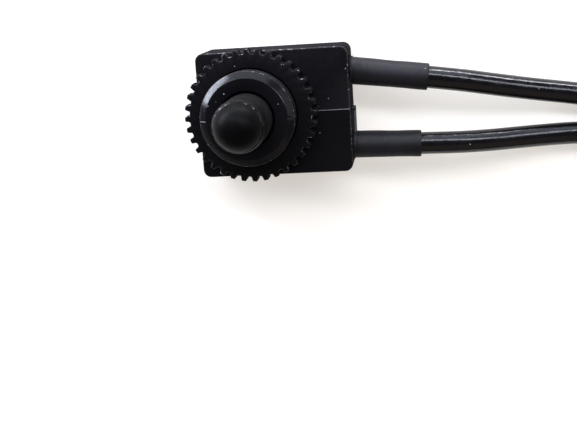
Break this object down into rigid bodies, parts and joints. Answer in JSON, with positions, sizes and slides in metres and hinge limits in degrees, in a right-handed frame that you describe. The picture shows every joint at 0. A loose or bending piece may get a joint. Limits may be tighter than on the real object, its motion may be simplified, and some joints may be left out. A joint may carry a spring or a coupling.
{
  "type": "pushbutton switch",
  "caption": "Small black sealed momentary pushbutton switch: box housing, threaded bushing with a knurled ring nut, long domed button and wire leads in heat shrink sleeves.",
  "frame": {"origin": "where the button's axis meets the back face, which is the face that the switch lies on", "axes": "+Z along the button's axis towards its dome, +X towards the wall that the leads leave from, +Y across"},
  "size_m": [0.1143, 0.0262, 0.0234],
  "materials": {
    "housing": "semi-gloss moulded",
    "cover": "satin moulded",
    "nut": "semi-gloss moulded",
    "button": "satin",
    "seal": "matte",
    "inner_plastic": "satin",
    "contact_metal": "stamped",
    "silver": "bright silver",
    "spring_steel": "drawn wire",
    "tin": "tinned",
    "sleeve": "matte shrunk",
    "insulation": "glossy",
    "tie": "satin"
  },
  "bodies": {
    "switch_body": {"housing": "housing", "back_cover": "cover", "plunger_seal": "seal", "seal_retainer": "inner_plastic", "terminal_upper": "contact_metal", "terminal_lower": "contact_metal", "fixed_contact_upper": "silver", "fixed_contact_lower": "silver", "solder_upper": "tin", "solder_lower": "tin", "conductor_upper": "tin", "conductor_lower": "tin", "sleeve_upper": "sleeve", "sleeve_lower": "sleeve", "lead_upper": "insulation", "lead_lower": "insulation", "lead_hank": "insulation", "lead_tie": "tie", "tip_upper": "tin", "tip_lower": "tin", "return_spring": "spring_steel"},
    "plunger": {"button": "button", "contact_bridge": "contact_metal", "moving_contact_upper": "silver", "moving_contact_lower": "silver", "bridge_clip": "spring_steel"},
    "ring_nut": {"ring_nut": "nut"}
  },
  "joints": [
    {"name": "button_press", "type": "slide", "parent": "switch_body", "child": "plunger", "axis": [0, 0, -1], "range_m": [0, 0.003], "stiffness_N_per_m": 340, "springref_m": -0.003, "deforming": ["return_spring"]},
    {"name": "nut_off", "type": "slide", "parent": "switch_body", "child": "ring_nut", "axis": [0, 0, 1], "range_m": [0, 0.015]}
  ]
}
